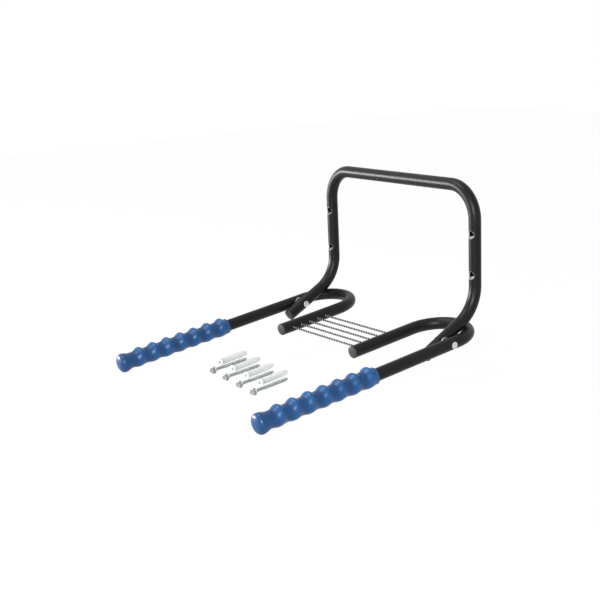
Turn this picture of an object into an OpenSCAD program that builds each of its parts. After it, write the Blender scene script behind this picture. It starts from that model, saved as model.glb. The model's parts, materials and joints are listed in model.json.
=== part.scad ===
// Folding wall holder for a bicycle: a bent tube frame for the wall, two hairpin arms that
// fold up about a rivet on each leg, blue soft grips that carry the bicycle's top tube, and five
// elastic cords between the arms' short prongs.
// Millimetres. X runs to the right, Y towards the wall and Z up. The origin lies in the wall's
// plane, in the middle of the four screw holes.

/* [Tube] */
// Outside diameter of the steel tube
tube_d = 20; // [18:0.5:22]
// Wall of the steel tube
tube_wall = 1.5; // [1:0.25:2]

/* [Wall frame] */
// Distance between the centre lines of the two uprights
upright_span = 370; // [340:5:440]
// Height of the top bar's centre line above the middle of the screw holes
top_height = 106.5; // [100:0.5:130]
// Depth of the arm pivots below the middle of the screw holes
pivot_drop = 127.5; // [124:0.5:145]
// Distance of the arm pivots from the wall
pivot_out = 85; // [82:1:96]
// Slope of the legs below level, in degrees
leg_slope = 28; // [26:0.5:30]
// Length of each leg beyond its pivot
leg_nose = 35; // [30:1:42]
// Bend radius of the two top corners, on the centre line
corner_r = 52; // [45:1:58]
// Bend radius of the two knees, on the centre line
knee_r = 65; // [55:1:70]

/* [Screw holes] */
// Height between the two screw holes in an upright
hole_pitch = 65; // [50:1:70]
// Diameter of the screw holes in the back wall of the tube
screw_hole_d = 6.5; // [6.5:0.1:7]
// Diameter of the openings in the front wall that let a screw's head through
driver_hole_d = 13; // [12.6:0.1:14]

/* [Folding arms] */
// Slope of the arms below level, in degrees
arm_slope = 7; // [5:0.5:8]
// Length of the tube in front of the pivot
arm_length = 358; // [346:1:380]
// Length of the prong in front of the pivot line
prong_length = 108; // [102:1:130]
// Bend radius of the loop that joins arm and prong, on the centre line
loop_r = 54; // [48:1:56]
// Clearance between the loop and the leg that stops it
stop_gap = 0.3; // [0.3:0.05:0.5]

/* [Pivot] */
// Diameter of the rivet's shank
rivet_d = 8; // [6:0.5:9]
// Diameter of the rivet's heads
rivet_head_d = 11; // [10.5:0.5:13]
// Height of the rivet's heads
rivet_head_h = 1.8; // [1.2:0.1:2.5]
// Clearance around the rivet's shank
running_gap = 0.05; // [0.03:0.01:0.08]
// Diameter of the washer between leg and arm
washer_d = 18; // [14:0.5:19]
// Thickness of that washer
washer_t = 1.6; // [1.2:0.1:2.5]
// Clearance on each face of the washer and under the outer rivet head
side_gap = 0.2; // [0.1:0.05:0.3]

/* [Grips] */
// Distance from the pivot to the inner end of the grip
grip_start = 153; // [152:0.5:156]
// Radius of the sleeve between the beads
sleeve_r = 13.1; // [12.5:0.1:14]
// Number of beads on a grip
bead_count = 7; // [5:1:7]
// Distance from one bead to the next
bead_pitch = 27.2; // [25:0.1:27.5]
// Radius of a bead
bead_r = 16.7; // [16:0.1:17.5]
// Height of the beads' centres above the tube's centre line
bead_lift = 1.4; // [0.8:0.1:1.6]
// Radius of the knob at the front end
knob_r = 16; // [15.5:0.1:17]
// Radius of the rounding all round the knob
knob_round = 7.5; // [6:0.5:8]
// Height of the knob's shallow dome
knob_dome = 1.2; // [0.6:0.1:1.6]
// Wall between the tube's end and the knob's rounding
grip_end_wall = 3; // [2:0.5:5]
// Clearance between the grip and the tube
grip_gap = 0.05; // [0.02:0.01:0.1]

/* [End plugs] */
// Thickness of a plug's cap
plug_cap_t = 3.5; // [3:0.5:5]
// Rounding of the cap's edge
plug_round = 1.5; // [1:0.5:1.5]
// Length of the plug's stem inside the tube
plug_stem_l = 12; // [8:1:14]
// Wall of the hollow stem
plug_stem_wall = 1.5; // [1:0.5:2]
// Clearance between stem and tube
plug_gap = 0.05; // [0.02:0.01:0.1]

/* [Elastic cords] */
// Number of cords
cord_count = 5; // [3:1:5]
// Diameter of a cord
cord_d = 3.2; // [2.4:0.1:3.4]
// Diameter of the cord holes in the prongs
cord_hole_d = 4; // [4:0.1:4.2]
// Distance from the pivot line to the first cord
cord_first = 21; // [18:1:22]
// Distance from one cord to the next
cord_pitch = 17.25; // [15:0.25:17.5]
// Diameter of the stop crimped on a cord's end
cord_stop_d = 5.2; // [5:0.1:6]
// Length of that stop
cord_stop_l = 4; // [3:0.5:5]
// Clearance of the stop in the prong that the cord rides on
cord_seat_gap = 0.1; // [0.05:0.05:0.2]
// Clearance of the stop in the other prong
cord_free_gap = 0.3; // [0.3:0.05:0.4]

/* [Wall screws] */
// Diameter of a screw's shank
screw_d = 6; // [5:0.5:6]
// Length of a screw under its head
screw_length = 90; // [70:5:95]
// Length of a screw's point
screw_point_l = 7; // [5:1:10]
// Diameter of the flange under the hexagon
flange_d = 12.4; // [11:0.1:12.4]
// Thickness of that flange
flange_t = 1.4; // [1:0.1:2]
// Width of the hexagon across its flats
hex_af = 8; // [7:0.5:10]
// Height of the hexagon
hex_h = 4; // [3:0.5:5]

/* [Wall plugs] */
// Diameter of a wall plug
dowel_d = 10; // [9:0.5:11]
// Length of a wall plug
dowel_l = 70; // [60:1:76]
// Diameter of the collar at its open end
dowel_collar_d = 12; // [11.5:0.5:13]
// Thickness of that collar
dowel_collar_t = 1.5; // [1:0.5:2]
// Length of the narrower nose
dowel_nose_l = 14; // [10:1:18]
// Diameter of the nose at its tip
dowel_nose_d = 7; // [6:0.5:8]
// Diameter of the bore that takes the screw
dowel_bore_d = 4.5; // [4:0.5:5]
// Width of the slit that lets the plug spread
dowel_slit_w = 1; // [0.6:0.1:1.4]

/* [Loose set] */
// Number of screws, each with its wall plug beside it
kit_count = 4; // [2:1:4]
// Distance to the right, from the middle, of the first screw's flange
kit_x = -91; // [-110:1:-80]
// Distance of that flange from the wall
kit_out = 337; // [325:1:350]
// Distance from one screw to the next, to the right
kit_pitch = 48; // [42:1:52]
// Distance by which each next screw lies further from the wall
kit_step = 5; // [0:1:8]
// Turn of the screws away from straight towards the wall, in degrees
kit_turn = 19; // [8:1:24]
// Distance from a screw to its wall plug, to the left
kit_plug_side = 33; // [30:1:36]
// Distance by which a wall plug's open end lies nearer the wall than the flange
kit_plug_back = 33; // [25:1:40]

/* [Hidden] */
$fn = 64;
// Overrun of every cut
over = 1;
// Lap of a leg into its knee, and the hair by which the leg's wall is thinner on each face
join_lap = 0.2;
join_step = 0.01;
tube_r = tube_d / 2;
bore_r = tube_r - tube_wall;
upright_x = upright_span / 2;
// Angle of the knee bend, and the height of the knee's corner above the pivots
knee_turn = 90 - leg_slope;
knee_rise = (pivot_out - tube_r) * tan(leg_slope);
knee_run = knee_r * tan(knee_turn / 2);
leg_l = leg_nose + (pivot_out - tube_r) / cos(leg_slope) - knee_run;
upright_l = top_height + pivot_drop - knee_rise - corner_r - knee_run;
bar_l = upright_span - 2 * corner_r;
// Arm and leg lie side by side, with the washer between them
arm_side = tube_d + washer_t + 2 * side_gap;
pivot_x = upright_x + arm_side;
prong_x = pivot_x - 2 * loop_r;
// The loop starts as far behind the pivot as its back needs to meet the underside of the leg:
// for each point round the loop, x is its distance beside the leg
stop_reach = tube_d + stop_gap;
loop_back = max([for (turn = [0:1:180])
    let (x = arm_side - loop_r + loop_r * cos(turn))
    abs(x) < stop_reach
        ? sqrt(stop_reach * stop_reach - x * x) / sin(leg_slope - arm_slope) - loop_r * sin(turn)
        : 0]);
// The last bead leaves one more valley before the knob
bead_first = grip_start + bead_r * cos(asin((sleeve_r - bead_lift) / bead_r)) + grip_end_wall;
knob_at = arm_length + grip_end_wall;
// Floor on which the screws lie: the lowest point of the knobs
floor_z = -pivot_drop - knob_at * sin(arm_slope) - knob_r * cos(arm_slope);

// Section through the tube
module tube_section() {
    difference() {
        circle(r = tube_r);
        circle(r = bore_r);
    }
}

// Stretch of tube that leaves the origin along +Z and bends towards +X
module tube_bend(radius, turn) {
    translate([radius, 0, 0])
        rotate([90, 0, 180])
            rotate_extrude(angle = turn)
                translate([radius, 0])
                    tube_section();
}

// Bent tube along +Z. Each step is a roll about the tube, a bend radius, a bend angle and the
// straight length after the bend.
module bent_tube(steps, i = 0) {
    if (i < len(steps)) {
        radius = steps[i][1];
        turn = steps[i][2];
        straight = steps[i][3];
        rotate([0, 0, steps[i][0]]) {
            if (turn > 0)
                tube_bend(radius, turn);
            translate([radius, 0, 0])
                rotate([0, turn, 0])
                    translate([-radius, 0, 0]) {
                        if (straight > 0)
                            linear_extrude(straight)
                                tube_section();
                        translate([0, 0, straight])
                            bent_tube(steps, i + 1);
                    }
        }
    }
}

// Moves to the right pivot with +Z along the arm to the front and +Y square to it, upwards
module on_arm() {
    translate([pivot_x, -pivot_out, -pivot_drop])
        rotate([90 + arm_slope, 0, 0])
            children();
}

// Moves to the right leg's pivot with +Z along the leg to its open end
module on_leg() {
    translate([upright_x, -pivot_out, -pivot_drop])
        rotate([90 + leg_slope, 0, 0])
            children();
}

// Puts a right-hand piece on the left
module on_left() {
    mirror([1, 0, 0])
        children();
}

// Right half of the wall frame's tube: half the top bar, corner, upright, knee and leg. The leg is
// drawn on its own slope, a hair inside the knee's wall, and starts a little way into the knee.
module half_frame_tube() {
    translate([0, -tube_r, top_height])
        rotate([0, 90, 0])
            bent_tube([
                [0, 0, 0, bar_l / 2],
                [0, corner_r, 90, upright_l],
                [-90, knee_r, knee_turn, 0],
            ]);
    on_leg()
        translate([0, 0, leg_nose - leg_l - join_lap])
            difference() {
                cylinder(r = tube_r - join_step, h = leg_l + join_lap);
                translate([0, 0, -over])
                    cylinder(r = bore_r + join_step, h = leg_l + join_lap + 2 * over);
            }
}

// Screw hole through the back wall of an upright and the wider opening in its front wall
module screw_hole() {
    rotate([90, 0, 0]) {
        translate([0, 0, -over])
            cylinder(d = screw_hole_d, h = tube_r + over);
        translate([0, 0, tube_r])
            cylinder(d = driver_hole_d, h = tube_r + over);
    }
}

// Cross hole for the rivet, long enough for both walls
module rivet_hole() {
    rotate([0, 90, 0])
        cylinder(d = rivet_d + 2 * running_gap, h = tube_d + 2 * over, center = true);
}

module wall_frame() {
    color("#2b2b2a")
        difference() {
            union() {
                half_frame_tube();
                on_left()
                    half_frame_tube();
            }
            for (side = [-1, 1])
                for (level = [-1, 1])
                    translate([side * upright_x, 0, level * hole_pitch / 2])
                        screw_hole();
            for (side = [-1, 1])
                translate([side * upright_x, -pivot_out, -pivot_drop])
                    rivet_hole();
        }
}

module right_arm_tube() {
    color("#2b2b2a")
        on_arm()
            difference() {
                translate([0, 0, arm_length])
                    rotate([0, 180, 0])
                        bent_tube([
                            [0, 0, 0, arm_length + loop_back],
                            [0, loop_r, 180, loop_back + prong_length],
                        ]);
                rivet_hole();
                for (i = [0:cord_count - 1])
                    translate([-2 * loop_r, 0, cord_first + i * cord_pitch])
                        rotate([0, -90, 0])
                            cylinder(d = cord_hole_d, h = tube_r + over);
            }
}

module left_arm_tube() {
    on_left()
        right_arm_tube();
}

// Rounded cap on the tube's end, which lies in the plane z = 0, with a hollow stem in the bore
module end_plug() {
    color("#3a3b3d") {
        rotate_extrude() {
            square([tube_r - plug_round, plug_cap_t]);
            square([tube_r, plug_cap_t - plug_round]);
            translate([tube_r - plug_round, plug_cap_t - plug_round])
                circle(r = plug_round);
        }
        translate([0, 0, -plug_stem_l])
            difference() {
                cylinder(r = bore_r - plug_gap, h = plug_stem_l);
                translate([0, 0, -over])
                    cylinder(r = bore_r - plug_gap - plug_stem_wall, h = plug_stem_l + over);
            }
    }
}

module right_leg_plug() {
    on_leg()
        translate([0, 0, leg_nose])
            end_plug();
}

module left_leg_plug() {
    on_left()
        right_leg_plug();
}

module right_prong_plug() {
    on_arm()
        translate([-2 * loop_r, 0, prong_length])
            end_plug();
}

module left_prong_plug() {
    on_left()
        right_prong_plug();
}

// Low domed rivet head on the plane z = 0
module rivet_head() {
    dome_r = (rivet_head_d * rivet_head_d / 4 + rivet_head_h * rivet_head_h) / (2 * rivet_head_h);
    rotate_extrude()
        intersection() {
            translate([0, rivet_head_h - dome_r])
                circle(r = dome_r, $fn = 4 * $fn);
            square([rivet_head_d / 2, rivet_head_h]);
        }
}

// Rivet through arm, washer and leg, from the leg's inner side to the arm's outer side
module right_pivot_rivet() {
    inner = upright_x - tube_r;
    outer = pivot_x + tube_r + side_gap;
    color("#c8cfcc")
        translate([0, -pivot_out, -pivot_drop])
            rotate([0, 90, 0]) {
                translate([0, 0, inner])
                    cylinder(d = rivet_d, h = outer - inner);
                translate([0, 0, outer])
                    rivet_head();
                translate([0, 0, inner])
                    mirror([0, 0, 1])
                        rivet_head();
            }
}

module left_pivot_rivet() {
    on_left()
        right_pivot_rivet();
}

module right_pivot_washer() {
    color("#d4d8d6")
        translate([upright_x + tube_r + side_gap, -pivot_out, -pivot_drop])
            rotate([0, 90, 0])
                difference() {
                    cylinder(d = washer_d, h = washer_t);
                    translate([0, 0, -over])
                        cylinder(d = rivet_d + 2 * running_gap, h = washer_t + 2 * over);
                }
}

module left_pivot_washer() {
    on_left()
        right_pivot_washer();
}

// Half section of the knob at the front end of a grip, from its widest place to the dome
module knob_section() {
    rim = knob_r - knob_round;
    dome_r = (rim * rim + knob_dome * knob_dome) / (2 * knob_dome);
    translate([rim, 0])
        circle(r = knob_round);
    translate([0, -knob_round])
        square([rim, 2 * knob_round]);
    intersection() {
        translate([0, knob_round + knob_dome - dome_r])
            circle(r = dome_r, $fn = 4 * $fn);
        square([rim, 2 * knob_round]);
    }
}

// Soft grip: a sleeve with beads along it, which sit higher than the tube, and a closed knob
module right_grip() {
    color("#2f66a8")
        on_arm()
            difference() {
                union() {
                    translate([0, 0, grip_start])
                        cylinder(r = sleeve_r, h = knob_at - grip_start);
                    for (i = [0:bead_count - 1])
                        translate([0, bead_lift, bead_first + i * bead_pitch])
                            sphere(r = bead_r);
                    translate([0, 0, knob_at])
                        rotate_extrude()
                            knob_section();
                }
                cylinder(r = tube_r + grip_gap, h = arm_length + grip_gap);
            }
}

module left_grip() {
    on_left()
        right_grip();
}

// Elastic cord from prong to prong. Its crimped stops sit inside the two tubes.
module elastic_cord(i) {
    seat = sqrt(bore_r * bore_r - cord_stop_d * cord_stop_d / 4);
    right_end = cord_seat_gap - seat;
    left_end = seat - cord_free_gap - 2 * prong_x;
    color("#77797c")
        on_arm()
            translate([-2 * loop_r, 0, cord_first + (i - 1) * cord_pitch]) {
                translate([left_end - over, 0, 0])
                    rotate([0, 90, 0])
                        cylinder(d = cord_d, h = right_end - left_end + 2 * over);
                translate([right_end, 0, 0])
                    rotate([0, 90, 0])
                        cylinder(d = cord_stop_d, h = cord_stop_l);
                translate([left_end, 0, 0])
                    rotate([0, -90, 0])
                        cylinder(d = cord_stop_d, h = cord_stop_l);
            }
}

// Moves to the place of one of the loose screws or plugs: its flange or collar, of the radius
// given, stands on the floor at the origin and its axis, +Z, runs down to rest further on
module lie_down(i, side, back, rim_r, rest_r, rest_l) {
    tilt = atan((rim_r - rest_r) / rest_l);
    translate([kit_x + (i - 1) * kit_pitch - side, back - kit_out - (i - 1) * kit_step, floor_z])
        rotate([0, 0, kit_turn])
            translate([0, 0, rim_r * cos(tilt)])
                rotate([-90 - tilt, 0, 0])
                    children();
}

// Screw with a hexagon head and a flange, its thread drawn at full diameter
module wall_screw(i) {
    color("#b9c2bd")
        lie_down(i, 0, 0, flange_d / 2, screw_d / 2, screw_length - screw_point_l) {
            cylinder(d = screw_d, h = screw_length - screw_point_l);
            translate([0, 0, screw_length - screw_point_l])
                cylinder(d1 = screw_d, d2 = screw_d / 8, h = screw_point_l);
            translate([0, 0, -flange_t])
                cylinder(d = flange_d, h = flange_t);
            translate([0, 0, -flange_t - hex_h])
                cylinder(d = hex_af / cos(30), h = hex_h, $fn = 6);
        }
}

// Wall plug with a collar, a narrow nose, a bore and one slit along most of its length
module wall_plug(i) {
    body_l = dowel_l - dowel_nose_l;
    color("#e9ebea")
        lie_down(i, kit_plug_side, kit_plug_back, dowel_collar_d / 2, dowel_d / 2, body_l)
            difference() {
                union() {
                    cylinder(d = dowel_d, h = body_l);
                    translate([0, 0, body_l])
                        cylinder(d1 = dowel_d, d2 = dowel_nose_d, h = dowel_nose_l);
                    translate([0, 0, -dowel_collar_t])
                        cylinder(d = dowel_collar_d, h = dowel_collar_t);
                }
                translate([0, 0, -dowel_collar_t - over])
                    cylinder(d = dowel_bore_d, h = body_l + dowel_collar_t + over);
                translate([-dowel_slit_w / 2, -dowel_d / 2 - over, dowel_nose_l])
                    cube([dowel_slit_w, dowel_d + 2 * over, body_l - dowel_nose_l]);
            }
}

wall_frame();
left_leg_plug();
right_leg_plug();
left_pivot_rivet();
right_pivot_rivet();
left_pivot_washer();
right_pivot_washer();
left_arm_tube();
right_arm_tube();
left_prong_plug();
right_prong_plug();
left_grip();
right_grip();
for (i = [1:cord_count])
    elastic_cord(i);
for (i = [1:kit_count]) {
    wall_screw(i);
    wall_plug(i);
}
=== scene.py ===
import json
import math

import bmesh
import bpy
from mathutils import Matrix, Vector


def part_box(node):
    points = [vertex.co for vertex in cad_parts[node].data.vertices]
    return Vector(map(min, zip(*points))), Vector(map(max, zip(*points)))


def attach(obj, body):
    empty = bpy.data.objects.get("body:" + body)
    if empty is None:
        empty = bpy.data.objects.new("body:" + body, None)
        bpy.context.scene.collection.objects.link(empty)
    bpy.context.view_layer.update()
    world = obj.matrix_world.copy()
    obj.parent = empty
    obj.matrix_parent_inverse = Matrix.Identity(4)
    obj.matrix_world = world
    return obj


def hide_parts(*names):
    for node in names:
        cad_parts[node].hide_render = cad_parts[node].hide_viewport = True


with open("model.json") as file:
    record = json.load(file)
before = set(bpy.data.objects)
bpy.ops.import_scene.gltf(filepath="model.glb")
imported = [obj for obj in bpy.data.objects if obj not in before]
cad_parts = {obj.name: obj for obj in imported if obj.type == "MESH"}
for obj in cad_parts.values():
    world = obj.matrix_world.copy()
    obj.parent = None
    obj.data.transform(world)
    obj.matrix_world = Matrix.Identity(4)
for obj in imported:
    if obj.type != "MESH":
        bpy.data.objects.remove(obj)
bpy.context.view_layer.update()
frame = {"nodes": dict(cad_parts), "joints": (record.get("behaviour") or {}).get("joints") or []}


# Camera, set where the photograph was taken: in front of the holder, to its right and a little
# above it. Yaw turns it left from looking at the wall, and a negative roll is clockwise.
camera_place = Vector((1.481, -1.254, 0.3567))
camera_yaw = math.radians(54.90)
camera_pitch = math.radians(-15.79)
camera_roll = math.radians(-2.65)
lens_mm = 68.8
sensor_mm = 36.0
shift_right = -0.0103
shift_up = 0.0853
near_clip = 0.05

ahead = Vector((
    -math.sin(camera_yaw) * math.cos(camera_pitch),
    math.cos(camera_yaw) * math.cos(camera_pitch),
    math.sin(camera_pitch),
))
level = Vector((math.cos(camera_yaw), math.sin(camera_yaw), 0.0))
above = level.cross(ahead)
right = level * math.cos(camera_roll) + above * math.sin(camera_roll)
up = above * math.cos(camera_roll) - level * math.sin(camera_roll)
camera = bpy.data.objects.new("camera", bpy.data.cameras.new("camera"))
camera.data.lens = lens_mm
camera.data.sensor_width = sensor_mm
camera.data.shift_x = shift_right
camera.data.shift_y = shift_up
camera.data.clip_start = near_clip
camera.matrix_world = (
    Matrix.Translation(camera_place) @ Matrix((right, up, -ahead)).transposed().to_4x4()
)
bpy.context.scene.collection.objects.link(camera)
bpy.context.scene.camera = camera


# Floor and studio light: a plain white floor that the camera and glossy surfaces see as white,
# one large soft lamp on the left, a small one near the camera, one above, and a white room.
floor_size = 8.0
floor_drop = 0.0002
floor_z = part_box("wall_screw_1")[0].z - floor_drop
floor_white = (0.86, 0.86, 0.86, 1)
floor_glow = 0.97
room_light = 0.45


def seen_directly(nodes, links):
    """A value that is 1 on rays that the camera, a glossy or a clear surface sends."""
    path = nodes.new("ShaderNodeLightPath")
    total = None
    for ray in ("Is Camera Ray", "Is Glossy Ray", "Is Transmission Ray"):
        if total is None:
            total = path.outputs[ray]
            continue
        most = nodes.new("ShaderNodeMath")
        most.operation = "MAXIMUM"
        links.new(total, most.inputs[0])
        links.new(path.outputs[ray], most.inputs[1])
        total = most.outputs[0]
    return total


floor_mesh = bpy.data.meshes.new("floor")
sheet = bmesh.new()
bmesh.ops.create_grid(sheet, x_segments=1, y_segments=1, size=floor_size / 2)
bmesh.ops.translate(sheet, verts=sheet.verts, vec=(0, 0, floor_z))
sheet.to_mesh(floor_mesh)
sheet.free()
floor = bpy.data.objects.new("floor", floor_mesh)
bpy.context.scene.collection.objects.link(floor)
floor_paint = bpy.data.materials.new("floor_white")
floor_paint.use_nodes = True
nodes = floor_paint.node_tree.nodes
links = floor_paint.node_tree.links
nodes.clear()
matt = nodes.new("ShaderNodeBsdfDiffuse")
matt.inputs["Color"].default_value = floor_white
glow = nodes.new("ShaderNodeEmission")
share = nodes.new("ShaderNodeMath")
share.operation = "MULTIPLY"
share.inputs[1].default_value = floor_glow
links.new(seen_directly(nodes, links), share.inputs[0])
blend = nodes.new("ShaderNodeMixShader")
links.new(share.outputs[0], blend.inputs["Fac"])
links.new(matt.outputs[0], blend.inputs[1])
links.new(glow.outputs[0], blend.inputs[2])
links.new(blend.outputs[0], nodes.new("ShaderNodeOutputMaterial").inputs["Surface"])
floor_mesh.materials.append(floor_paint)

room = bpy.data.worlds.new("room")
room.use_nodes = True
nodes = room.node_tree.nodes
links = room.node_tree.links
nodes.clear()
dim = nodes.new("ShaderNodeBackground")
dim.inputs["Color"].default_value = (1, 1, 1, 1)
dim.inputs["Strength"].default_value = room_light
white = nodes.new("ShaderNodeBackground")
white.inputs["Color"].default_value = (1, 1, 1, 1)
choose = nodes.new("ShaderNodeMixShader")
links.new(seen_directly(nodes, links), choose.inputs["Fac"])
links.new(dim.outputs[0], choose.inputs[1])
links.new(white.outputs[0], choose.inputs[2])
links.new(choose.outputs[0], nodes.new("ShaderNodeOutputWorld").inputs["Surface"])
bpy.context.scene.world = room

holder_middle = Vector((0, -0.2, -0.1))
left_lamp_place = (-2.6, -2.1, -0.05)
left_lamp_size = 1.6
left_lamp_watts = 330
front_lamp_place = (1.5, -1.65, 0.7)
front_lamp_size = 0.5
front_lamp_watts = 48
top_lamp_place = (-0.5, -0.8, 1.7)
top_lamp_size = 0.8
top_lamp_watts = 18


def soft_lamp(name, place, size, watts):
    """A square soft lamp that faces the middle of the holder."""
    lamp = bpy.data.lights.new(name, "AREA")
    lamp.shape = "SQUARE"
    lamp.size = size
    lamp.energy = watts
    lamp_object = bpy.data.objects.new(name, lamp)
    lamp_object.location = place
    lamp_object.rotation_euler = (holder_middle - Vector(place)).to_track_quat("-Z", "Y").to_euler()
    bpy.context.scene.collection.objects.link(lamp_object)


soft_lamp("left_lamp", left_lamp_place, left_lamp_size, left_lamp_watts)
soft_lamp("front_lamp", front_lamp_place, front_lamp_size, front_lamp_watts)
soft_lamp("top_lamp", top_lamp_place, top_lamp_size, top_lamp_watts)


# Wall frame: one 20 mm steel tube bent over a former, drilled through both walls of each
# upright for the wall screws, and coated in satin black powder. Inside it is bare steel; pale
# steel is painted on the cut edges of the holes and, as painted light, only on the lower bore
# behind each driver opening, where light falls in through the hole.
tube_r = 0.010
tube_wall = 0.0015
upright_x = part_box("wall_frame")[1].x - tube_r
hole_z = 0.0325
driver_hole_r = 0.0065
screw_hole_r = 0.00325
bare_and_painted_lit_reach = 0.015
painted_lit_below = 0.0045
cut_edge = 0.0001
coat_dark = (0.0035, 0.0035, 0.0030, 1)
coat_light = (0.0070, 0.0070, 0.0063, 1)
# Pale steel: the real cut edges, and painted light in the lower bore.
bare_steel_and_painted_light = (0.74, 0.74, 0.72, 1)
steel_metal = 0.35


def new_surface(name):
    """A material with its shader, and a function that adds nodes to it."""
    material = bpy.data.materials.new(name)
    material.use_nodes = True
    tree = material.node_tree
    shader = tree.nodes["Principled BSDF"]

    def add(kind, inputs=None, **settings):
        made = tree.nodes.new("ShaderNode" + kind)
        for key, value in settings.items():
            setattr(made, key, value)
        for key, value in (inputs or {}).items():
            if isinstance(value, bpy.types.NodeSocket):
                tree.links.new(value, made.inputs[key])
            else:
                made.inputs[key].default_value = value
        return made

    def into(socket, value):
        tree.links.new(value, shader.inputs[socket])

    return material, shader, add, into


def specks(add, place, per_metre, detail=3.0, rough=0.55):
    """Cloudy noise on a coordinate, with that many clouds to the metre."""
    return add(
        "TexNoise", {"Vector": place, "Scale": per_metre, "Detail": detail, "Roughness": rough}
    ).outputs["Fac"]


def between(add, amount, low, high):
    """The amount, from 0 to 1, spread from low to high."""
    return add(
        "MapRange", {"Value": amount, "To Min": low, "To Max": high}
    ).outputs["Result"]


def sums(add, operation, first, second=0.0, third=0.0):
    """One arithmetic step on values."""
    return add("Math", {0: first, 1: second, 2: third}, operation=operation).outputs[0]


def powder_coat(name, bare_and_painted_lit_places):
    """Satin black powder with its fine orange peel; the given mask finds the bare cut edges and the
    pale painted light low in the bore.
    """
    material, shader, add, into = new_surface(name)
    place = add("TexCoord").outputs["Object"]
    clouds = specks(add, place, 60)
    peel = specks(add, place, 1400, 2.0)
    dust = specks(add, place, 5200, 1.0)
    coat = add("Mix", {"Factor": clouds, "A": coat_dark, "B": coat_light}, data_type="RGBA")
    coat_rough = between(add, clouds, 0.34, 0.42)
    shader.inputs["Specular IOR Level"].default_value = 0.17
    lumps = sums(add, "MULTIPLY_ADD", dust, 0.25, peel)
    bump = add("Bump", {"Height": lumps, "Strength": 0.06, "Distance": 0.00002})
    into("Normal", bump.outputs[0])
    if bare_and_painted_lit_places is None:
        into("Base Color", coat.outputs["Result"])
        into("Roughness", coat_rough)
        return material
    # bare steel on the cut edges, and painted light low in the bore
    bare_and_painted_lit = bare_and_painted_lit_places(add, place)
    drawn = between(add, specks(add, place, 900), 0.28, 0.5)
    colour = add(
        "Mix", {"Factor": bare_and_painted_lit, "A": coat.outputs["Result"], "B": bare_steel_and_painted_light}, data_type="RGBA"
    )
    rough = add("Mix", {"Factor": bare_and_painted_lit, "A": coat_rough, "B": drawn})
    into("Base Color", colour.outputs["Result"])
    into("Roughness", rough.outputs["Result"])
    into("Metallic", sums(add, "MULTIPLY", bare_and_painted_lit, steel_metal))
    return material


def bare_edges_and_painted_lit_bore(add, place):
    """1 on the cut edges of the holes, which are bare steel, and low in the bore behind each driver
    opening, a painted light patch where light falls in through the hole.
    """
    axes = add("SeparateXYZ", {0: place})
    beside = sums(add, "SUBTRACT", sums(add, "ABSOLUTE", axes.outputs["X"]), upright_x)
    depth = sums(add, "ADD", axes.outputs["Y"], tube_r)
    offset = sums(add, "SUBTRACT", sums(add, "ABSOLUTE", axes.outputs["Z"]), hole_z)
    height = sums(add, "MULTIPLY", offset, sums(add, "SIGN", axes.outputs["Z"]))
    across = add("CombineXYZ", {"X": beside, "Y": depth})
    from_tube = add("VectorMath", {0: across.outputs[0]}, operation="LENGTH").outputs["Value"]
    down_hole = add("CombineXYZ", {"X": beside, "Y": height})
    from_hole = add("VectorMath", {0: down_hole.outputs[0]}, operation="LENGTH").outputs["Value"]
    inside = sums(add, "LESS_THAN", from_tube, tube_r - tube_wall + cut_edge)
    # painted light: only the bore below the hole is pale, where light falls in through the opening
    low = sums(add, "LESS_THAN", height, -painted_lit_below)
    bore = sums(add, "MULTIPLY", inside, low)
    front = sums(add, "LESS_THAN", depth, 0.0)
    in_opening = sums(add, "LESS_THAN", from_hole, driver_hole_r + cut_edge)
    front_cut = sums(add, "MULTIPLY", in_opening, front)
    back_cut = sums(add, "LESS_THAN", from_hole, screw_hole_r + cut_edge)
    found = sums(add, "MAXIMUM", bore, sums(add, "MAXIMUM", front_cut, back_cut))
    near = sums(add, "LESS_THAN", sums(add, "ABSOLUTE", height), bare_and_painted_lit_reach)
    return sums(add, "MULTIPLY", found, near)


def dress(node, material):
    """Gives a carried node its finish."""
    mesh = frame["nodes"][node].data
    mesh.materials.clear()
    mesh.materials.append(material)


dress("wall_frame", powder_coat("wall_frame_coat", bare_edges_and_painted_lit_bore))


# Arms: the same tube and coat, each bent into a hairpin and drilled for its rivet and for the
# five cords.
arm_coat = powder_coat("arm_coat", None)
dress("right_arm_tube", arm_coat)
dress("left_arm_tube", arm_coat)


# End plugs: moulded caps of dark grey plastic with a hollow stem that grips the bore. The cap's
# edge is rounded, and a small gate mark is left in the middle of its slightly domed face.
plug_cap = 0.0035
plug_round = 0.0015
plug_dome = 0.0007
plug_gate_r = 0.0014
plug_gate_h = 0.0005
plug_stem = 0.012
leg_slope = math.radians(28)
arm_slope = math.radians(7)
leg_nose = 0.035
prong_length = 0.108
pivot = Vector(frame["joints"][0]["pos_m"])
round_steps = 64
weld = 1e-7
plug_grey = (0.024, 0.0245, 0.025, 1)
plug_pale = (0.034, 0.0345, 0.036, 1)


def arc(middle, radius, start, end, steps):
    """Points round part of a circle in a half section: each is (distance from axis, along)."""
    points = []
    for step in range(steps + 1):
        angle = math.radians(start + (end - start) * step / steps)
        points.append((
            middle[0] + radius * math.cos(angle),
            middle[1] + radius * math.sin(angle),
        ))
    return points


def turned(section, steps=round_steps):
    """A solid turned from a half section about +Z, given as (distance from axis, along)."""
    shape = bmesh.new()
    line = [shape.verts.new((distance, 0, along)) for distance, along in section]
    for first, second in zip(line, line[1:]):
        shape.edges.new((first, second))
    bmesh.ops.spin(
        shape,
        geom=shape.verts[:] + shape.edges[:],
        axis=(0, 0, 1),
        cent=(0, 0, 0),
        angle=math.tau,
        steps=steps,
        use_merge=True,
    )
    bmesh.ops.remove_doubles(shape, verts=shape.verts, dist=weld)
    bmesh.ops.recalc_face_normals(shape, faces=shape.faces)
    return shape


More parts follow.
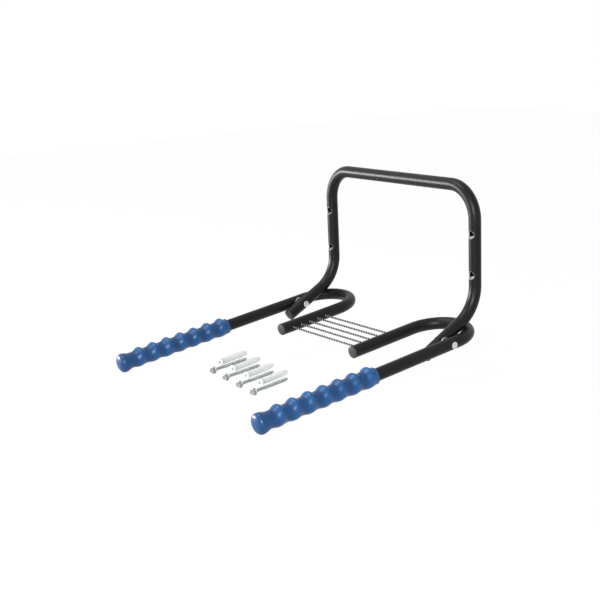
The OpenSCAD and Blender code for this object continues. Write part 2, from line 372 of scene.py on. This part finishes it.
def finished(name, shape, place, body, material, stands_for=(), crease=35):
    """Moves a shape to its place, makes it a piece of the holder and lets it ride on a body."""
    bmesh.ops.transform(shape, matrix=place, verts=shape.verts)
    if place.determinant() < 0:
        bmesh.ops.reverse_faces(shape, faces=shape.faces)
    mesh = bpy.data.meshes.new(name)
    shape.to_mesh(mesh)
    shape.free()
    mesh.shade_smooth()
    mesh.set_sharp_from_angle(angle=math.radians(crease))
    mesh.materials.append(material)
    piece = bpy.data.objects.new(name, mesh)
    bpy.context.scene.collection.objects.link(piece)
    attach(piece, body)
    if stands_for:
        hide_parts(*stands_for)
    return piece


def mirrored(place, side):
    """The place of a right-hand piece, or of its twin on the left when side is -1."""
    return Matrix.Diagonal((side, 1, 1, 1)) @ place


on_arm = Matrix.Translation(pivot) @ Matrix.Rotation(math.radians(90) + arm_slope, 4, "X")
prong_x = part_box("right_prong_plug")[1].x - tube_r
on_prong = on_arm @ Matrix.Translation((prong_x - pivot.x, 0, prong_length))
on_leg = (
    Matrix.Translation((upright_x, pivot.y, pivot.z))
    @ Matrix.Rotation(math.radians(90) + leg_slope, 4, "X")
    @ Matrix.Translation((0, 0, leg_nose))
)


def plug_plastic():
    """Dark grey moulded plastic with a fine grain and faint flow marks."""
    material, shader, add, into = new_surface("plug_plastic")
    place = add("TexCoord").outputs["Object"]
    flow = specks(add, place, 240, 4.0)
    grain = specks(add, place, 6000, 2.0)
    shade = add("Mix", {"Factor": flow, "A": plug_grey, "B": plug_pale}, data_type="RGBA")
    into("Base Color", shade.outputs["Result"])
    into("Roughness", between(add, flow, 0.42, 0.58))
    shader.inputs["Specular IOR Level"].default_value = 0.25
    bump = add("Bump", {"Height": grain, "Strength": 0.15, "Distance": 0.00003})
    into("Normal", bump.outputs[0])
    return material


dark_plastic = plug_plastic()
plug_edge = plug_cap - plug_dome - plug_round
plug_section = (
    [(0.0, plug_cap - plug_gate_h)]
    + [(plug_gate_r * 0.8, plug_cap - plug_gate_h)]
    + [(plug_gate_r, plug_cap)]
    + [(tube_r * 0.5, plug_cap - plug_dome * 0.35)]
    + arc((tube_r - plug_round, plug_edge), plug_round, 75, 0, 10)
    + [(tube_r, 0.0), (tube_r - tube_wall, 0.0)]
    + [(tube_r - tube_wall, -plug_stem), (0.0, -plug_stem)]
)
for side, hand in ((1, "right"), (-1, "left")):
    finished(
        hand + "_leg_end_cap", turned(plug_section), mirrored(on_leg, side), "frame",
        dark_plastic, [hand + "_leg_plug"],
    )
    finished(
        hand + "_prong_end_cap", turned(plug_section), mirrored(on_prong, side), hand + "_arm",
        dark_plastic, [hand + "_prong_plug"],
    )


# Rivets and washers: zinc plated steel. Each rivet passes through arm, washer and leg, and its
# heads are formed by a rolling tool, which leaves a low dome with a shallow ring and a dimple.
rivet_r = 0.004
rivet_head_r = 0.0055
rivet_head_h = 0.0018
rivet_dimple = 0.0004
rivet_dimple_r = 0.0012
rivet_head_steps = 12
rivet_fullness = 0.85
rivet_ring_at = 0.62
rivet_ring_narrowness = 9
rivet_ring_depth = rivet_dimple * 0.35
zinc_dark = (0.42, 0.45, 0.44, 1)
zinc_light = (0.72, 0.75, 0.73, 1)


def zinc_plate(name, dark, light, metal, spangle_per_metre):
    """Bright zinc, clouded in small patches, with fine scratches."""
    material, shader, add, into = new_surface(name)
    place = add("TexCoord").outputs["Object"]
    patches = specks(add, place, spangle_per_metre, 2.0)
    scratches = add(
        "TexNoise",
        {"Vector": add("Mapping", {"Vector": place, "Scale": (600, 600, 9000)}).outputs[0],
         "Scale": 1.0, "Detail": 2.0},
    ).outputs["Fac"]
    shade = add("Mix", {"Factor": patches, "A": dark, "B": light}, data_type="RGBA")
    into("Base Color", shade.outputs["Result"])
    shader.inputs["Metallic"].default_value = metal
    into("Roughness", between(add, patches, 0.24, 0.42))
    bump = add("Bump", {"Height": scratches, "Strength": 0.2, "Distance": 0.00002})
    into("Normal", bump.outputs[0])
    return material


rivet_zinc = zinc_plate("rivet_zinc", zinc_dark, zinc_light, 0.9, 1100)
right_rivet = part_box("right_pivot_rivet")
rivet_inner = right_rivet[0].x + rivet_head_h
rivet_outer = right_rivet[1].x - rivet_head_h


def head_section(seat, outward):
    """Half section of a rivet's head on the plane along = seat, rim first."""
    crown = []
    for step in range(rivet_head_steps):
        share = step / rivet_head_steps
        fall = rivet_head_h * (1 - math.sqrt(1 - rivet_fullness * (1 - share) ** 2))
        off_ring = (share - rivet_ring_at) * rivet_ring_narrowness
        ring = rivet_ring_depth * math.exp(-off_ring ** 2)
        crown.append((rivet_head_r * (1 - share), seat + outward * (rivet_head_h - fall - ring)))
    crown.append((rivet_dimple_r, seat + outward * (rivet_head_h - rivet_dimple * 0.2)))
    crown.append((rivet_dimple_r / 2, seat + outward * (rivet_head_h - rivet_dimple)))
    crown.append((0.0, seat + outward * (rivet_head_h - rivet_dimple)))
    return [(rivet_head_r, seat)] + crown


along_pivot = Matrix.Translation((0, pivot.y, pivot.z)) @ Matrix.Rotation(math.radians(90), 4, "Y")
rivet_section = (
    head_section(rivet_outer, 1)[::-1]
    + [(rivet_r, rivet_outer), (rivet_r, rivet_inner)]
    + head_section(rivet_inner, -1)
)
for side, hand in ((1, "right"), (-1, "left")):
    finished(
        hand + "_rivet", turned(rivet_section), mirrored(along_pivot, side), "frame",
        rivet_zinc, [hand + "_pivot_rivet"],
    )
    dress(hand + "_pivot_washer", rivet_zinc)


# Grips: soft blue vinyl, dipped over a former with seven beads and a domed knob, then pushed
# over the arm. The beads stand higher on top than below, and lean back towards the pivot.
grip_start = 0.153
grip_sleeve_r = 0.0131
grip_collar_r = 0.0134
grip_collar_l = 0.004
grip_slack = 0.00005
grip_rim_r = 0.0012
grip_lip = 0.012
grip_thinnest = 0.001
grip_end_l = 0.006
bead_first = 0.1679
bead_pitch = 0.0272
bead_count = 7
bead_rise = 0.0032
bead_lift = 0.0014
crest_power = 1.45
crest_power_rise = 0.55
grip_lean = 0.17
lean_fade = 0.015
knob_valley = 0.3460
knob_widest = 0.3605
knob_r = 0.0162
knob_dome = 0.0092
knob_fullness = 0.78
knob_steps = 24
# small share of painted light on the knob, so it is painted darker as painted shade
painted_knob_shade = 0.15
grip_step = 0.0009
grip_round_steps = 72
# navy for the painted shade in the valleys and on the knob, blue for the painted light on the crests
# and collar, clouded at random between them
grip_navy = (0.001, 0.022, 0.078, 1)
grip_blue = (0.002, 0.072, 0.225, 1)


def bead_wave(along):
    """0 in the valleys and 1 on the crest of each bead."""
    place = (along - bead_first) / bead_pitch
    if place < -0.5 or place > bead_count - 0.5:
        return 0.0
    return 0.5 + 0.5 * math.cos(math.tau * place)


def grip_radius(along):
    """Mean radius of the grip at a distance from the pivot."""
    if along > knob_valley:
        share = min(1.0, (along - knob_valley) / (knob_widest - knob_valley))
        ease = share * share * (3 - 2 * share)
        return grip_sleeve_r + (knob_r - grip_sleeve_r) * ease
    return grip_sleeve_r


def grip_section():
    """Half section of the grip from its inner rim over the beads to the tip of the dome."""
    rim = grip_collar_r - grip_rim_r
    bore = tube_r + grip_slack
    line = [(bore, grip_start + grip_lip), (bore, grip_start)]
    line += arc((rim, grip_start + grip_rim_r), grip_rim_r, -90, 0, 6)
    along = grip_start + grip_rim_r + grip_step
    while along < knob_widest:
        collar = max(0.0, 1 - (along - grip_start) / grip_collar_l)
        line.append((grip_radius(along) + (grip_collar_r - grip_sleeve_r) * collar, along))
        along += grip_step
    for step in range(knob_steps + 1):
        angle = math.radians(90 * step / knob_steps)
        line.append((
            knob_r * max(0.0, math.cos(angle)) ** knob_fullness,
            knob_widest + knob_dome * math.sin(angle) ** knob_fullness,
        ))
    return line


def grip_shape():
    """The turned grip, its beads then lifted and leant back, and a share of painted light kept for the
    colour: full on the crests and the collar, none in the valleys, little on the knob.
    """
    shape = turned(grip_section(), grip_round_steps)
    painted_light_share = shape.verts.layers.float.new("painted_light_share")
    for vert in shape.verts:
        along = vert.co.z
        outward = math.hypot(vert.co.x, vert.co.y)
        wave = bead_wave(along)
        if outward > tube_r + grip_thinnest:
            upward = vert.co.y / outward
            wave **= crest_power + crest_power_rise * upward
            wanted = outward + (bead_rise + bead_lift * upward) * wave
            factor = wanted / outward
            vert.co.x *= factor
            vert.co.y *= factor
            ends = min(along - grip_start, knob_valley + grip_end_l - along)
            fade = max(0.0, min(1.0, ends / lean_fade))
            vert.co.z -= grip_lean * vert.co.y * fade
        # painted light: the collar is given the full lightness of a crest
        if along < grip_start + grip_end_l:
            wave = 1.0
        # painted shade: the knob is given a darker share
        if along > knob_valley + grip_end_l:
            wave = painted_knob_shade
        vert[painted_light_share] = wave
    return shape


def blue_vinyl():
    """Blue vinyl with painted light and shade: darker in the valleys and on the knob, lighter on the
    crests and the collar, with faint waves left by dipping.
    """
    material, shader, add, into = new_surface("blue_vinyl")
    place = add("TexCoord").outputs["Object"]
    painted_light_share = add("Attribute", attribute_name="painted_light_share").outputs["Fac"]
    clouds = specks(add, place, 45, 4.0)
    # painted light and shade: lighter on the bead crests and the collar, darker in the valleys and on
    # the knob
    amount = sums(add, "MULTIPLY_ADD", clouds, 0.5, sums(add, "MULTIPLY", painted_light_share, 0.5))
    shade = add("Mix", {"Factor": amount, "A": grip_navy, "B": grip_blue}, data_type="RGBA")
    into("Base Color", shade.outputs["Result"])
    into("Roughness", between(add, clouds, 0.32, 0.44))
    shader.inputs["Specular IOR Level"].default_value = 0.3
    shader.inputs["Coat Weight"].default_value = 0.08
    shader.inputs["Coat Roughness"].default_value = 0.22
    waves = sums(add, "MULTIPLY_ADD", specks(add, place, 2600, 2.0), 0.12, specks(add, place, 220, 2.0))
    bump = add("Bump", {"Height": waves, "Strength": 0.08, "Distance": 0.0002})
    into("Normal", bump.outputs[0])
    return material


vinyl = blue_vinyl()
for side, hand in ((1, "right"), (-1, "left")):
    finished(
        hand + "_vinyl_grip", grip_shape(), mirrored(on_arm, side), hand + "_arm",
        vinyl, [hand + "_grip"], crease=60,
    )


# Elastic cords: rubber strands in a sheath of dark and light yarn that winds round them. Each
# is drawn tight between the prongs and crimped into a metal stop inside each tube.
cord_r = 0.0016
cord_stop_r = 0.0026
cord_stop_l = 0.004
cord_stop_round = 0.0004
cord_stop_waist = 0.86
cord_held = 0.0005
cord_lay = 0.0066
cord_lobes = 6
cord_lobe_share = 0.05
cord_round_steps = 18
cord_stop_round_steps = 24
cord_count = 5
cord_step = 0.0004
cord_dark = (0.004, 0.004, 0.0045, 1)
cord_light = (0.32, 0.33, 0.34, 1)


def cord_sheath():
    """Two colours of yarn wound round the cord, each yarn standing a little proud."""
    material, shader, add, into = new_surface("cord_sheath")
    yarn = add("Attribute", attribute_name="yarn").outputs["Fac"]
    stripe = add("MapRange", {"Value": yarn, "From Min": 0.68, "From Max": 0.78}).outputs["Result"]
    place = add("TexCoord").outputs["Object"]
    fibres = specks(add, place, 5000, 3.0)
    shade = add("Mix", {"Factor": stripe, "A": cord_dark, "B": cord_light}, data_type="RGBA")
    worn = add(
        "Mix",
        {"Factor": between(add, fibres, 0.7, 1.0), "A": (0, 0, 0, 1), "B": shade.outputs["Result"]},
        data_type="RGBA",
    )
    into("Base Color", worn.outputs["Result"])
    shader.inputs["Roughness"].default_value = 0.75
    shader.inputs["Specular IOR Level"].default_value = 0.1
    shader.inputs["Sheen Weight"].default_value = 0.02
    bump = add("Bump", {"Height": fibres, "Strength": 0.5, "Distance": 0.00008})
    into("Normal", bump.outputs[0])
    return material


def cord_shape(length):
    """A cord along +Z from the origin: a lobed ring drawn out and turned as it goes."""
    shape = bmesh.new()
    ring = bmesh.ops.create_circle(shape, segments=cord_round_steps, radius=cord_r)["verts"]
    for vert in ring:
        angle = math.atan2(vert.co.y, vert.co.x)
        swell = 1 - cord_lobe_share * (1 - math.cos(cord_lobes * angle)) / 2
        vert.co.x *= swell
        vert.co.y *= swell
    steps = round(length / cord_step)
    edges = shape.edges[:]
    for step in range(steps):
        out = bmesh.ops.extrude_edge_only(shape, edges=edges)["geom"]
        verts = [g for g in out if isinstance(g, bmesh.types.BMVert)]
        edges = [g for g in out if isinstance(g, bmesh.types.BMEdge)]
        turn = Matrix.Rotation(math.tau * length / steps / cord_lay, 3, "Z")
        bmesh.ops.rotate(shape, verts=verts, cent=(0, 0, 0), matrix=turn)
        bmesh.ops.translate(shape, verts=verts, vec=(0, 0, length / steps))
    bmesh.ops.holes_fill(shape, edges=shape.edges, sides=cord_round_steps)
    bmesh.ops.recalc_face_normals(shape, faces=shape.faces)
    yarn = shape.verts.layers.float.new("yarn")
    for vert in shape.verts:
        angle = math.atan2(vert.co.y, vert.co.x) - math.tau * vert.co.z / cord_lay
        vert[yarn] = 0.5 + 0.5 * math.cos(angle)
    return shape


sheath = cord_sheath()
stop_flat = cord_stop_r - cord_stop_round
stop_waist_r = cord_stop_r * cord_stop_waist
stop_section = (
    [(0.0, 0.0), (stop_flat, 0.0)]
    + arc((stop_flat, cord_stop_round), cord_stop_round, -90, 0, 4)
    + [(stop_waist_r, cord_stop_l * 0.35), (stop_waist_r, cord_stop_l * 0.65)]
    + arc((stop_flat, cord_stop_l - cord_stop_round), cord_stop_round, 0, 90, 4)
    + [(0.0, cord_stop_l)]
)
for number in range(1, cord_count + 1):
    node = "elastic_cord_%d" % number
    low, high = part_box(node)
    middle = (low + high) / 2
    start = Vector((low.x + cord_stop_l - cord_held, middle.y, middle.z))
    length = high.x - low.x - 2 * (cord_stop_l - cord_held)
    across = Matrix.Rotation(math.radians(90), 4, "Y")
    finished(
        node + "_sheath", cord_shape(length), Matrix.Translation(start) @ across, "right_arm",
        sheath, [node], crease=80,
    )
    for end, x in (("left", low.x), ("right", high.x - cord_stop_l)):
        finished(
            "%s_%s_stop" % (node, end), turned(stop_section, cord_stop_round_steps),
            Matrix.Translation((x, middle.y, middle.z)) @ across, "right_arm", rivet_zinc,
        )


# Wall screws: cold headed steel, zinc plated, with a hexagon, a flange, a plain neck and a
# rolled thread that runs out in a point. They lie beside the holder with their wall plugs.
kit_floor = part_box("wall_screw_1")[0].z
kit_turn = math.radians(19)
kit_first = Vector((-0.091, -0.337, kit_floor))
kit_pitch = Vector((0.048, -0.005, 0))
kit_count = 4
flange_r = 0.0062
flange_t = 0.0014
hex_half = 0.004
hex_h = 0.004
hex_rim = 0.0009
hex_sink = 0.0004
hex_chamfer = 0.00028
hex_sharp = 0.6
screw_r = 0.003
screw_l = 0.090
screw_neck = 0.024
screw_point = 0.009
screw_rest = 0.007
screw_edge = 0.0002
screw_neck_r = screw_r * 0.84
screw_round_steps = 32
thread_pitch = 0.0026
thread_root = 0.0024
thread_steps = 20
thread_weld = 1e-6
point_least_share = 0.06
screw_dark = (0.10, 0.11, 0.105, 1)
screw_light = (0.38, 0.41, 0.39, 1)


def lying(first, number, rim_r, rest_r, rest_l):
    """Place of a loose screw or plug: its rim stands on the floor and it rests further on."""
    tilt = math.atan((rim_r - rest_r) / rest_l)
    return (
        Matrix.Translation(first + kit_pitch * number)
        @ Matrix.Rotation(kit_turn, 4, "Z")
        @ Matrix.Translation((0, 0, rim_r * math.cos(tilt)))
        @ Matrix.Rotation(-math.radians(90) - tilt, 4, "X")
    )


def joined(shapes):
    """Several shapes as one, each still closed by itself."""
    whole = bmesh.new()
    for shape in shapes:
        mesh = bpy.data.meshes.new("part")
        shape.to_mesh(mesh)
        shape.free()
        whole.from_mesh(mesh)
        bpy.data.meshes.remove(mesh)
    return whole


def thread_shape():
    """Rolled thread: one tooth wound round and along the screw, drawn in to the point."""
    shape = bmesh.new()
    turns = round((screw_l - screw_neck) / thread_pitch)
    tooth = [
        (thread_root, 0.0),
        (thread_root, thread_pitch * 0.30),
        (screw_r * 0.97, thread_pitch * 0.47),
        (screw_r, thread_pitch * 0.52),
        (screw_r * 0.97, thread_pitch * 0.57),
        (thread_root, thread_pitch * 0.76),
        (thread_root, thread_pitch),
    ]
    line = [shape.verts.new((distance, 0, screw_neck - thread_pitch + z)) for distance, z in tooth]
    for first, second in zip(line, line[1:]):
        shape.edges.new((first, second))
    bmesh.ops.spin(
        shape,
        geom=shape.verts[:] + shape.edges[:],
        axis=(0, 0, 1),
        cent=(0, 0, 0),
        dvec=(0, 0, thread_pitch / thread_steps),
        angle=math.tau * turns,
        steps=thread_steps * turns,
    )
    bmesh.ops.remove_doubles(shape, verts=shape.verts, dist=thread_weld)
    for vert in shape.verts:
        start = (vert.co.z - screw_neck + thread_pitch) / thread_pitch
        end = (screw_l - vert.co.z) / screw_point
        shrink = max(point_least_share, min(1.0, end))
        outward = math.hypot(vert.co.x, vert.co.y)
        wanted = thread_root * shrink + (outward - thread_root) * min(1.0, start / 2, end * 2 + 0.2)
        factor = max(wanted, screw_edge) / outward
        vert.co.x *= factor
        vert.co.y *= factor
        vert.co.z = min(vert.co.z, screw_l)
    bmesh.ops.holes_fill(shape, edges=shape.edges, sides=0)
    bmesh.ops.recalc_face_normals(shape, faces=shape.faces)
    return shape


def hexagon_shape():
    """The hexagon, its outer corners turned off in a chamfer, sunk a little in the middle."""
    shape = bmesh.new()
    across_corners = hex_half / math.cos(math.radians(30))
    bmesh.ops.create_cone(
        shape, cap_ends=True, segments=6, radius1=across_corners, radius2=across_corners,
        depth=hex_h,
    )
    bmesh.ops.translate(shape, verts=shape.verts, vec=(0, 0, -flange_t - hex_h / 2))
    top = min(shape.faces, key=lambda face: face.calc_center_median().z)
    bmesh.ops.inset_region(shape, faces=[top], thickness=hex_rim)
    bmesh.ops.translate(shape, verts=top.verts, vec=(0, 0, hex_sink))
    rims = [edge for edge in shape.edges if len(edge.link_faces) == 2]
    sharp = [edge for edge in rims if edge.calc_face_angle(0) > hex_sharp]
    bmesh.ops.bevel(
        shape, geom=sharp, offset=hex_chamfer, segments=2, profile=0.5, affect="EDGES", material=-1
    )
    bmesh.ops.recalc_face_normals(shape, faces=shape.faces)
    return shape


shank_section = [
    (0.0, -flange_t),
    (flange_r * 0.75, -flange_t),
    (flange_r - 2 * screw_edge, -flange_t * 0.55),
    (flange_r, -flange_t * 0.3),
    (flange_r, -flange_t * 0.06),
    (flange_r - screw_edge, 0.0),
    (screw_r + screw_edge, 0.0),
    (screw_neck_r, 3 * screw_edge),
    (screw_neck_r, screw_neck - 6 * screw_edge),
    (thread_root * 0.98, screw_neck - screw_edge),
    (thread_root * 0.98, screw_l - screw_point * 1.1),
    (0.0, screw_l - screw_point * 0.9),
]
screw_zinc = zinc_plate("screw_zinc", screw_dark, screw_light, 0.35, 1600)
for number in range(kit_count):
    screw = joined([turned(shank_section, screw_round_steps), hexagon_shape(), thread_shape()])
    finished(
        "coach_screw_%d" % (number + 1), screw,
        lying(kit_first, number, flange_r, screw_r, screw_l - screw_rest),
        "frame", screw_zinc, ["wall_screw_%d" % (number + 1)], crease=40,
    )


# Wall plugs: pale nylon mouldings, open at the collar and split along two sides so that the
# screw spreads them. Shallow barbs run round the body, and the nose tapers.
plug_beside = 0.033
plug_behind = 0.033
plug_place = kit_first + Vector((-plug_beside, plug_behind, 0))
dowel_r = 0.005
dowel_bore_r = 0.00225
dowel_collar_r = 0.006
dowel_collar_t = 0.0015
dowel_body = 0.056
dowel_nose = 0.014
dowel_nose_r = 0.0034
dowel_tip_r = 0.0018
dowel_nose_round = 0.0022
dowel_bore_end = 0.004
dowel_edge = 0.0002
dowel_mouth = 0.0003
dowel_first_barb = 0.008
dowel_slit = math.radians(8)
dowel_half_steps = 20
dowel_collar_steps = 40
dowel_barb_pitch = 0.0045
dowel_barb_h = 0.00022
nylon_white = (0.67, 0.68, 0.68, 1)
nylon_shade = (0.61, 0.625, 0.635, 1)


def nylon():
    """Pale nylon that lets a little light through, with a faint milky cloud."""
    material, shader, add, into = new_surface("nylon")
    place = add("TexCoord").outputs["Object"]
    milk = specks(add, place, 150, 4.0)
    shade = add("Mix", {"Factor": milk, "A": nylon_shade, "B": nylon_white}, data_type="RGBA")
    into("Base Color", shade.outputs["Result"])
    into("Roughness", between(add, milk, 0.32, 0.45))
    shader.inputs["Subsurface Weight"].default_value = 0.15
    shader.inputs["Subsurface Radius"].default_value = (0.004, 0.004, 0.004)
    shader.inputs["Subsurface Scale"].default_value = 0.6
    bump = add(
        "Bump", {"Height": specks(add, place, 900, 2.0), "Strength": 0.05, "Distance": 0.00005}
    )
    into("Normal", bump.outputs[0])
    return material


def dowel_outline():
    """Closed half section of the split body: the barbs outside and the bore inside."""
    line = [(dowel_bore_r, 0.0), (dowel_r, 0.0)]
    barb = dowel_first_barb
    while barb + dowel_barb_pitch < dowel_body:
        line += [(dowel_r, barb), (dowel_r - dowel_barb_h, barb + 2 * dowel_edge)]
        line += [(dowel_r, barb + dowel_barb_pitch * 0.8)]
        barb += dowel_barb_pitch
    line += [(dowel_r, dowel_body)]
    tip = dowel_body + dowel_nose
    line += [(dowel_nose_r + 3 * dowel_edge, dowel_body + dowel_nose * 0.72)]
    line += arc((dowel_tip_r, tip - dowel_nose_round), dowel_nose_round, 20, 90, 5)
    line += [(dowel_bore_r * 0.4, tip), (dowel_bore_r * 0.4, dowel_body)]
    line += [(dowel_bore_r, dowel_body - dowel_bore_end)]
    return line


def half_dowel(first_angle):
    """One half of the split body, its cut faces closed."""
    shape = bmesh.new()
    face = shape.faces.new([shape.verts.new((r, 0, z)) for r, z in dowel_outline()])
    start = Matrix.Rotation(first_angle + dowel_slit / 2, 3, "Z")
    bmesh.ops.rotate(shape, verts=shape.verts, cent=(0, 0, 0), matrix=start)
    bmesh.ops.spin(
        shape,
        geom=[face] + face.edges[:] + face.verts[:],
        axis=(0, 0, 1),
        cent=(0, 0, 0),
        angle=math.pi - dowel_slit,
        steps=dowel_half_steps,
    )
    bmesh.ops.recalc_face_normals(shape, faces=shape.faces)
    return shape


collar_section = [
    (dowel_bore_r, dowel_edge),
    (dowel_bore_r, -dowel_collar_t + dowel_mouth),
    (dowel_bore_r + dowel_mouth, -dowel_collar_t),
    (dowel_collar_r - 2 * dowel_edge, -dowel_collar_t),
    (dowel_collar_r, -dowel_collar_t + 2 * dowel_edge),
    (dowel_collar_r, -dowel_edge),
    (dowel_collar_r - dowel_edge, 0.0),
    (dowel_r, dowel_edge),
    (dowel_bore_r, dowel_edge),
]
pale_nylon = nylon()
for number in range(kit_count):
    halves = [half_dowel(math.pi / 2), half_dowel(-math.pi / 2)]
    dowel = joined(halves + [turned(collar_section, dowel_collar_steps)])
    finished(
        "split_plug_%d" % (number + 1), dowel,
        lying(plug_place, number, dowel_collar_r, dowel_r, dowel_body),
        "frame", pale_nylon, ["wall_plug_%d" % (number + 1)], crease=30,
    )


bpy.context.scene.view_settings.view_transform = "Standard"
